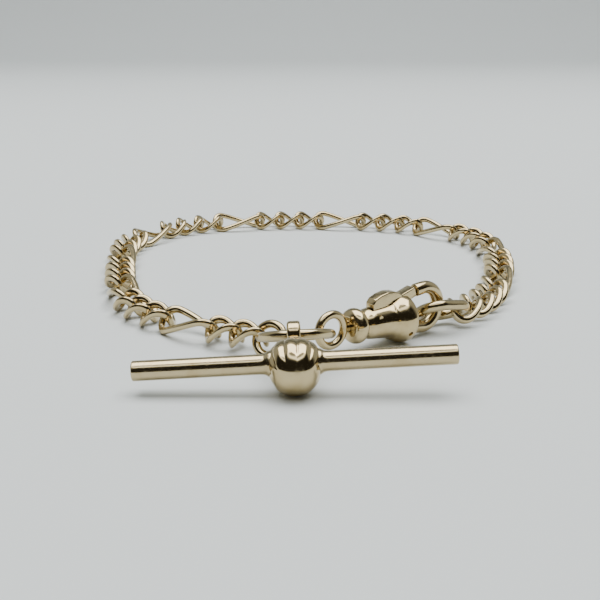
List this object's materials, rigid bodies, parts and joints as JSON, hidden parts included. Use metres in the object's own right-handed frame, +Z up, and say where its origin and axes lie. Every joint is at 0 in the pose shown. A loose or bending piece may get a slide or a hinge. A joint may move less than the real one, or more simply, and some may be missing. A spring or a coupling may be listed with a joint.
{
  "type": "pocket watch chain",
  "caption": "Albert watch chain of figaro curb links, fastened in a loop: T-bar with fluted bead, jump rings and a swivel dog clip with sprung gate.",
  "frame": {"origin": "on the table under the middle of the whole chain's footprint", "axes": "+X along the T-bar to its clip side, +Y from the T-bar over the loop, +Z up"},
  "size_m": [0.0688, 0.094, 0.0074],
  "materials": {
    "gold": "polished 9 ct gold with fine wear",
    "spring_steel": "brushed"
  },
  "bodies": {
    "bar_ring": {"bar_ring": "gold"},
    "t_bar": {"left_arm": "gold", "right_arm": "gold", "left_end_cap": "gold", "right_end_cap": "gold", "bead_barrel": "gold", "bead_cap": "gold", "bar_eye": "gold"},
    "jump_ring": {"jump_ring": "gold"},
    "link_01": {"link_01": "gold"},
    "link_02": {"link_02": "gold"},
    "link_03": {"link_03": "gold"},
    "link_04": {"link_04": "gold"},
    "link_05": {"link_05": "gold"},
    "link_06": {"link_06": "gold"},
    "link_07": {"link_07": "gold"},
    "link_08": {"link_08": "gold"},
    "link_09": {"link_09": "gold"},
    "link_10": {"link_10": "gold"},
    "link_11": {"link_11": "gold"},
    "link_12": {"link_12": "gold"},
    "link_13": {"link_13": "gold"},
    "link_14": {"link_14": "gold"},
    "link_15": {"link_15": "gold"},
    "link_16": {"link_16": "gold"},
    "link_17": {"link_17": "gold"},
    "link_18": {"link_18": "gold"},
    "link_19": {"link_19": "gold"},
    "link_20": {"link_20": "gold"},
    "link_21": {"link_21": "gold"},
    "link_22": {"link_22": "gold"},
    "link_23": {"link_23": "gold"},
    "link_24": {"link_24": "gold"},
    "link_25": {"link_25": "gold"},
    "link_26": {"link_26": "gold"},
    "link_27": {"link_27": "gold"},
    "link_28": {"link_28": "gold"},
    "link_29": {"link_29": "gold"},
    "link_30": {"link_30": "gold"},
    "link_31": {"link_31": "gold"},
    "link_32": {"link_32": "gold"},
    "link_33": {"link_33": "gold"},
    "link_34": {"link_34": "gold"},
    "link_35": {"link_35": "gold"},
    "link_36": {"link_36": "gold"},
    "link_37": {"link_37": "gold"},
    "link_38": {"link_38": "gold"},
    "link_39": {"link_39": "gold"},
    "end_ring": {"end_ring": "gold"},
    "swivel": {"swivel_eye": "gold", "swivel_rivet": "gold"},
    "clip": {"clip_barrel": "gold", "clip_hook": "gold", "gate_pin": "gold", "spring_pin": "gold", "gate_spring": "spring_steel"},
    "gate": {"gate_lever": "gold"}
  },
  "joints": [
    {"name": "t_bar_lift", "type": "hinge", "parent": "bar_ring", "child": "t_bar", "pos_m": [-0.00199, -0.03895, 0.00539], "axis": [-1, 0, 0], "range_deg": [-20, 60]},
    {"name": "jump_rock", "type": "hinge", "parent": "bar_ring", "child": "jump_ring", "pos_m": [-0.00542, -0.03142, 0.00252], "axis": [-0.8274, 0.5449, -0.136], "range_deg": [-3, 3]},
    {"name": "link_01_rock", "type": "hinge", "parent": "bar_ring", "child": "link_01", "pos_m": [-0.00774, -0.02974, 0.00226], "axis": [-0.7967, 0.6004, -0.0698], "range_deg": [-3, 3]},
    {"name": "link_02_rock", "type": "hinge", "parent": "bar_ring", "child": "link_02", "pos_m": [-0.01091, -0.0274, 0.00202], "axis": [-0.8079, 0.587, -0.0523], "range_deg": [-3, 3]},
    {"name": "link_03_rock", "type": "hinge", "parent": "bar_ring", "child": "link_03", "pos_m": [-0.01581, -0.02365, 0.00177], "axis": [-0.7875, 0.6153, -0.0349], "range_deg": [-3, 3]},
    {"name": "link_04_rock", "type": "hinge", "parent": "bar_ring", "child": "link_04", "pos_m": [-0.02056, -0.01972, 0.00162], "axis": [-0.7313, 0.682, 0], "range_deg": [-3, 3]},
    {"name": "link_05_rock", "type": "hinge", "parent": "bar_ring", "child": "link_05", "pos_m": [-0.02322, -0.01682, 0.00162], "axis": [-0.6157, 0.788, 0], "range_deg": [-3, 3]},
    {"name": "link_06_rock", "type": "hinge", "parent": "bar_ring", "child": "link_06", "pos_m": [-0.02531, -0.01349, 0.00162], "axis": [-0.4384, 0.8988, 0], "range_deg": [-3, 3]},
    {"name": "link_07_rock", "type": "hinge", "parent": "bar_ring", "child": "link_07", "pos_m": [-0.02733, -0.00768, 0.00162], "axis": [-0.2756, 0.9613, 0], "range_deg": [-3, 3]},
    {"name": "link_08_rock", "type": "hinge", "parent": "bar_ring", "child": "link_08", "pos_m": [-0.02886, -0.0017, 0.00162], "axis": [-0.1908, 0.9816, 0], "range_deg": [-3, 3]},
    {"name": "link_09_rock", "type": "hinge", "parent": "bar_ring", "child": "link_09", "pos_m": [-0.02959, 0.00218, 0.00162], "axis": [-0.1736, 0.9848, 0], "range_deg": [-3, 3]},
    {"name": "link_10_rock", "type": "hinge", "parent": "bar_ring", "child": "link_10", "pos_m": [-0.03027, 0.00607, 0.00162], "axis": [-0.1736, 0.9848, 0], "range_deg": [-3, 3]},
    {"name": "link_11_rock", "type": "hinge", "parent": "bar_ring", "child": "link_11", "pos_m": [-0.0312, 0.01218, 0.00162], "axis": [-0.1392, 0.9903, 0], "range_deg": [-3, 3]},
    {"name": "link_12_rock", "type": "hinge", "parent": "bar_ring", "child": "link_12", "pos_m": [-0.03192, 0.01831, 0.00162], "axis": [-0.0697, 0.9976, 0], "range_deg": [-3, 3]},
    {"name": "link_13_rock", "type": "hinge", "parent": "bar_ring", "child": "link_13", "pos_m": [-0.03192, 0.02225, 0.00162], "axis": [0.0697, 0.9976, 0], "range_deg": [-3, 3]},
    {"name": "link_14_rock", "type": "hinge", "parent": "bar_ring", "child": "link_14", "pos_m": [-0.0313, 0.02613, 0.00162], "axis": [0.2419, 0.9703, 0], "range_deg": [-3, 3]},
    {"name": "link_15_rock", "type": "hinge", "parent": "bar_ring", "child": "link_15", "pos_m": [-0.02892, 0.03179, 0.00162], "axis": [0.454, 0.891, 0], "range_deg": [-3, 3]},
    {"name": "link_16_rock", "type": "hinge", "parent": "bar_ring", "child": "link_16", "pos_m": [-0.02572, 0.03703, 0.00162], "axis": [0.6561, 0.7547, 0], "range_deg": [-3, 3]},
    {"name": "link_17_rock", "type": "hinge", "parent": "bar_ring", "child": "link_17", "pos_m": [-0.0228, 0.03965, 0.00162], "axis": [0.8192, 0.5736, 0], "range_deg": [-3, 3]},
    {"name": "link_18_rock", "type": "hinge", "parent": "bar_ring", "child": "link_18", "pos_m": [-0.01937, 0.04155, 0.00162], "axis": [0.9205, 0.3907, 0], "range_deg": [-3, 3]},
    {"name": "link_19_rock", "type": "hinge", "parent": "bar_ring", "child": "link_19", "pos_m": [-0.01346, 0.04327, 0.00162], "axis": [0.9744, 0.225, 0], "range_deg": [-3, 3]},
    {"name": "link_20_rock", "type": "hinge", "parent": "bar_ring", "child": "link_20", "pos_m": [-0.0074, 0.04442, 0.00162], "axis": [0.9945, 0.1045, 0], "range_deg": [-3, 3]},
    {"name": "link_21_rock", "type": "hinge", "parent": "bar_ring", "child": "link_21", "pos_m": [-0.00346, 0.04466, 0.00162], "axis": [0.9998, 0.0175, 0], "range_deg": [-3, 3]},
    {"name": "link_22_rock", "type": "hinge", "parent": "bar_ring", "child": "link_22", "pos_m": [0.00048, 0.04459, 0.00162], "axis": [0.9986, -0.0523, 0], "range_deg": [-3, 3]},
    {"name": "link_23_rock", "type": "hinge", "parent": "bar_ring", "child": "link_23", "pos_m": [0.00662, 0.04398, 0.00162], "axis": [0.9925, -0.1219, 0], "range_deg": [-3, 3]},
    {"name": "link_24_rock", "type": "hinge", "parent": "bar_ring", "child": "link_24", "pos_m": [0.01272, 0.04302, 0.00162], "axis": [0.9744, -0.225, 0], "range_deg": [-3, 3]},
    {"name": "link_25_rock", "type": "hinge", "parent": "bar_ring", "child": "link_25", "pos_m": [0.01649, 0.04187, 0.00162], "axis": [0.9336, -0.3584, 0], "range_deg": [-3, 3]},
    {"name": "link_26_rock", "type": "hinge", "parent": "bar_ring", "child": "link_26", "pos_m": [0.02002, 0.04015, 0.00162], "axis": [0.8572, -0.515, 0], "range_deg": [-3, 3]},
    {"name": "link_27_rock", "type": "hinge", "parent": "bar_ring", "child": "link_27", "pos_m": [0.02479, 0.03626, 0.00162], "axis": [0.7314, -0.682, 0], "range_deg": [-3, 3]},
    {"name": "link_28_rock", "type": "hinge", "parent": "bar_ring", "child": "link_28", "pos_m": [0.02893, 0.03174, 0.00162], "axis": [0.5446, -0.8387, 0], "range_deg": [-3, 3]},
    {"name": "link_29_rock", "type": "hinge", "parent": "bar_ring", "child": "link_29", "pos_m": [0.03069, 0.02823, 0.00162], "axis": [0.342, -0.9397, 0], "range_deg": [-3, 3]},
    {"name": "link_30_rock", "type": "hinge", "parent": "bar_ring", "child": "link_30", "pos_m": [0.03167, 0.02442, 0.00162], "axis": [0.1564, -0.9877, 0], "range_deg": [-3, 3]},
    {"name": "link_31_rock", "type": "hinge", "parent": "bar_ring", "child": "link_31", "pos_m": [0.03198, 0.01827, 0.00162], "axis": [0, -1, 0], "range_deg": [-3, 3]},
    {"name": "link_32_rock", "type": "hinge", "parent": "bar_ring", "child": "link_32", "pos_m": [0.03177, 0.01211, 0.00162], "axis": [-0.1045, -0.9945, 0], "range_deg": [-3, 3]},
    {"name": "link_33_rock", "type": "hinge", "parent": "bar_ring", "child": "link_33", "pos_m": [0.03122, 0.0082, 0.00162], "axis": [-0.1736, -0.9848, 0], "range_deg": [-3, 3]},
    {"name": "link_34_rock", "type": "hinge", "parent": "bar_ring", "child": "link_34", "pos_m": [0.03044, 0.00433, 0.00162], "axis": [-0.225, -0.9744, 0], "range_deg": [-3, 3]},
    {"name": "link_35_rock", "type": "hinge", "parent": "bar_ring", "child": "link_35", "pos_m": [0.02883, -0.00163, 0.00162], "axis": [-0.2756, -0.9613, 0], "range_deg": [-3, 3]},
    {"name": "link_36_rock", "type": "hinge", "parent": "bar_ring", "child": "link_36", "pos_m": [0.02697, -0.00751, 0.00162], "axis": [-0.3584, -0.9336, 0], "range_deg": [-3, 3]},
    {"name": "link_37_rock", "type": "hinge", "parent": "bar_ring", "child": "link_37", "pos_m": [0.0254, -0.01113, 0.00169], "axis": [-0.4381, -0.8982, 0.0349], "range_deg": [-3, 3]},
    {"name": "link_38_rock", "type": "hinge", "parent": "bar_ring", "child": "link_38", "pos_m": [0.02349, -0.01458, 0.00186], "axis": [-0.5292, -0.8469, 0.0523], "range_deg": [-3, 3]},
    {"name": "link_39_rock", "type": "hinge", "parent": "bar_ring", "child": "link_39", "pos_m": [0.02117, -0.01776, 0.00207], "axis": [-0.6419, -0.765, 0.0523], "range_deg": [-3, 3]},
    {"name": "end_ring_rock", "type": "hinge", "parent": "bar_ring", "child": "end_ring", "pos_m": [0.01757, -0.02077, 0.00275], "axis": [-0.7907, -0.5875, 0.172], "range_deg": [-2, 2]},
    {"name": "swivel_turn", "type": "hinge", "parent": "bar_ring", "child": "swivel", "pos_m": [0.0046, -0.0308, 0.00364], "axis": [0.7869, 0.6148, -0.0523], "range_deg": [-2, 2]},
    {"name": "clip_spin", "type": "hinge", "parent": "swivel", "child": "clip", "pos_m": [0.0046, -0.0308, 0.00364], "axis": [0.7869, 0.6148, -0.0523], "range_deg": [-5, 3]},
    {"name": "gate_open", "type": "hinge", "parent": "clip", "child": "gate", "pos_m": [0.00771, -0.02837, 0.00443], "axis": [-0.6157, 0.788, 0], "range_deg": [0, 26], "stiffness_Nm_per_rad": 0.002, "springref_deg": -8.59}
  ]
}
